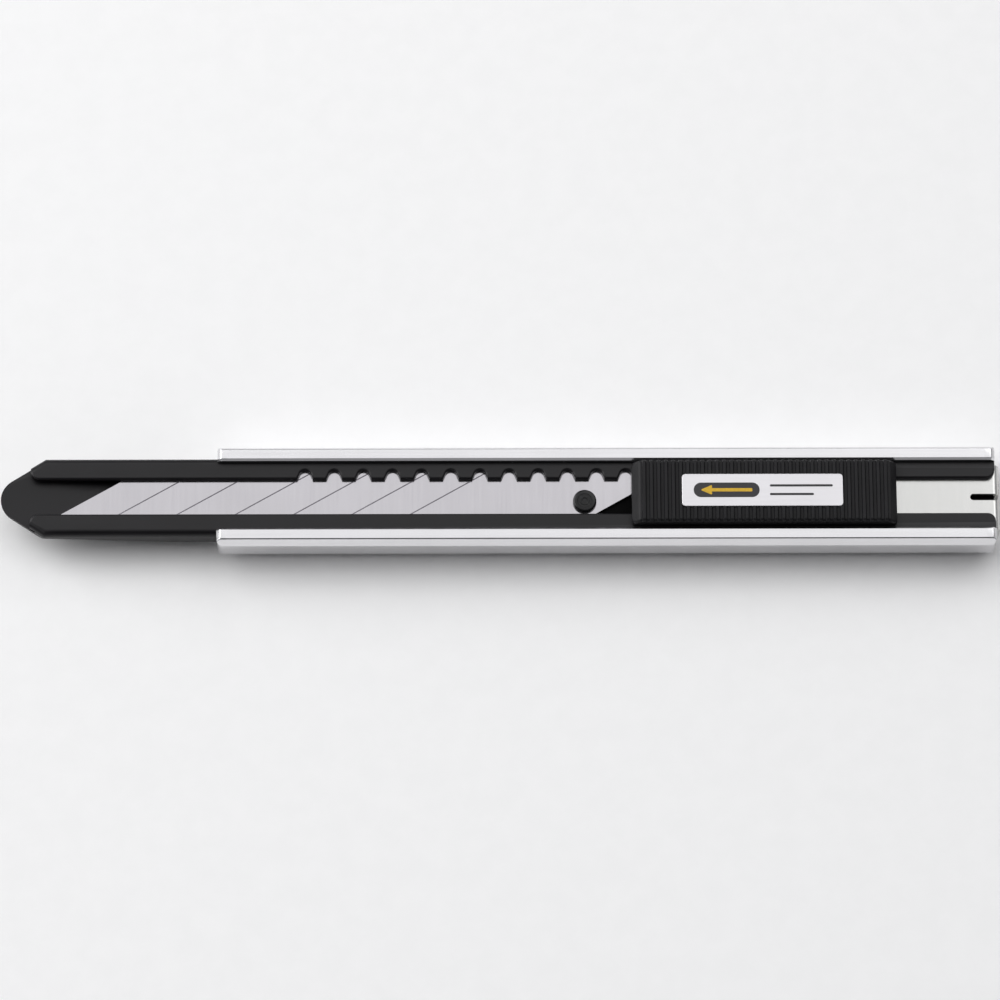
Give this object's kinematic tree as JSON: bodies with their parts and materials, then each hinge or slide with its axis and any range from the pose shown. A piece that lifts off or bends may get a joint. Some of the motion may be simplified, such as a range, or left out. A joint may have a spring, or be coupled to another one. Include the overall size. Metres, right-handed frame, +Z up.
{
  "type": "snap off knife",
  "caption": "Slim snap-off knife: scored blade on an auto-lock thumb slider in a metal channel and sleeve, with a pocket clip that snaps blades.",
  "frame": {"origin": "centre of the bounding box's footprint, on the surface the clip rests on", "axes": "+X from the nose to the rear end plate, +Y to the rack side, +Z up through the thumb slider"},
  "size_m": [0.137, 0.0142, 0.0084],
  "materials": {
    "outer_sleeve": "fine brushed, satin",
    "blade_channel": "satin black coating on steel",
    "channel_rivets": "satin",
    "thumb_slider": "fine moulded texture",
    "slider_label": "satin printed plate",
    "blade_carrier": "moulded",
    "carrier_rivets": "satin",
    "blade_pin": "satin black",
    "blade": "finely ground",
    "lock_tooth": "tumbled",
    "lock_spring": "spring steel",
    "pocket_clip": "satin stainless steel"
  },
  "bodies": {
    "handle": {"outer_sleeve": "outer_sleeve", "blade_channel": "blade_channel", "channel_rivets": "channel_rivets"},
    "slider": {"thumb_slider": "thumb_slider", "slider_label": "slider_label", "blade_carrier": "blade_carrier", "carrier_rivets": "carrier_rivets", "blade_pin": "blade_pin", "blade": "blade", "lock_spring": "lock_spring"},
    "latch": {"lock_tooth": "lock_tooth"},
    "clip": {"pocket_clip": "pocket_clip"}
  },
  "joints": [
    {"name": "slider_travel", "type": "slide", "parent": "handle", "child": "slider", "axis": [-1, 0, 0], "range_m": [0, 0.048]},
    {"name": "latch_press", "type": "slide", "parent": "slider", "child": "latch", "axis": [0, -1, 0], "range_m": [0, 0.0013], "stiffness_N_per_m": 400, "springref_m": -0.001, "deforming": ["lock_spring"]},
    {"name": "clip_pull", "type": "slide", "parent": "handle", "child": "clip", "axis": [1, 0, 0], "range_m": [0, 0.016]}
  ]
}
